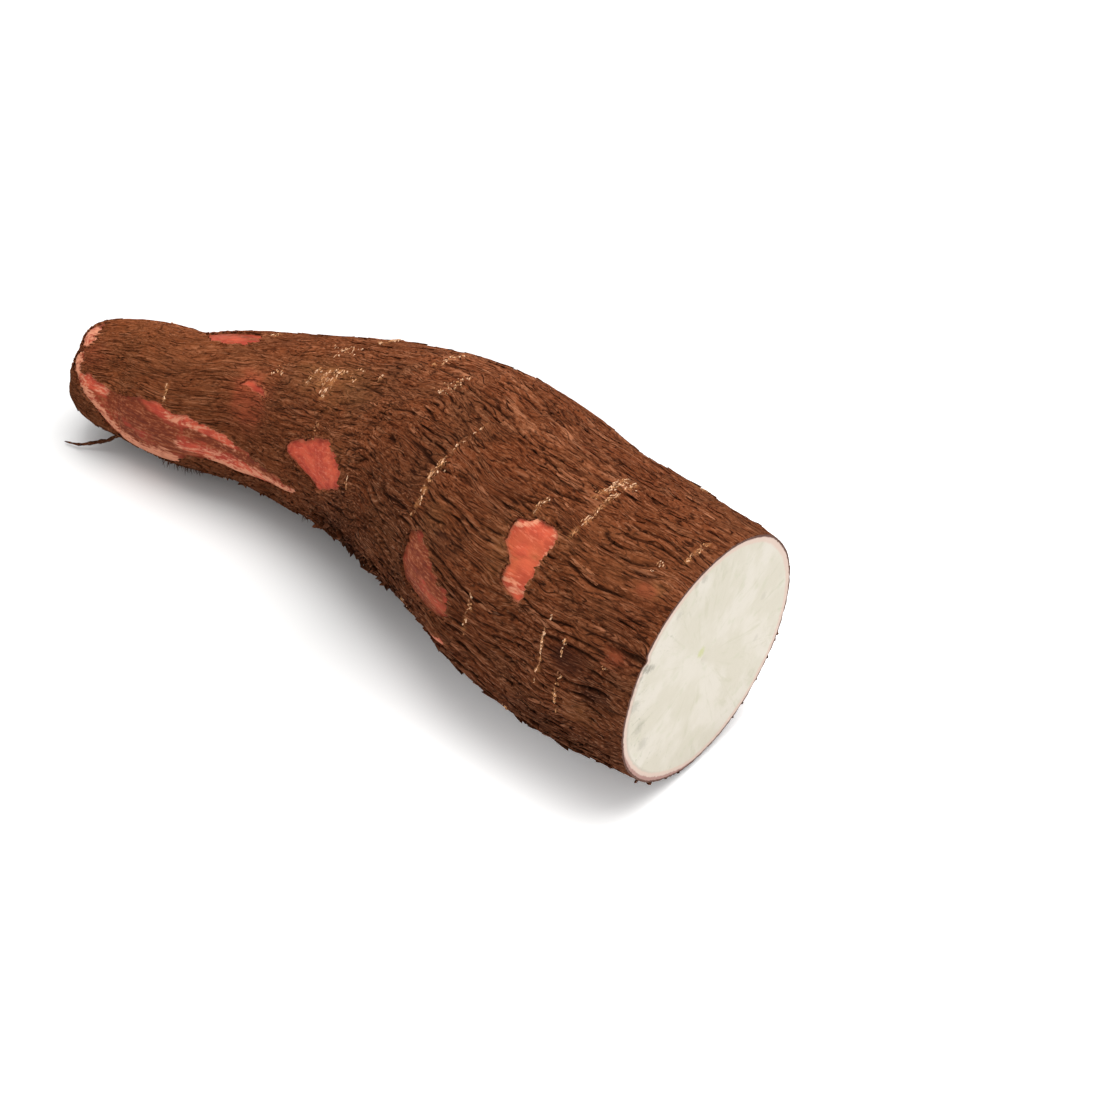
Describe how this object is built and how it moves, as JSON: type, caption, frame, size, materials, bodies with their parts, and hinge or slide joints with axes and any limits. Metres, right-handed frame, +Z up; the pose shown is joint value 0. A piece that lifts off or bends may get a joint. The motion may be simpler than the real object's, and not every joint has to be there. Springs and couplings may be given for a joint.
{
  "type": "cassava root",
  "caption": "Whole-skinned cassava root with a blunt tapering tip, cut straight across at its thick end and lying on its side.",
  "frame": {"origin": "on the floor under the middle of the root's box", "axes": "+X along the root from its blunt tip towards its cut face, +Z up, as it lies"},
  "size_m": [0.2316, 0.0822, 0.0712],
  "materials": {
    "bark": "dry, rough and flaking",
    "inner_skin": "satin, slightly moist",
    "flesh": "matte, freshly cut"
  },
  "bodies": {
    "root": {"cassava_root": "bark"}
  },
  "joints": []
}
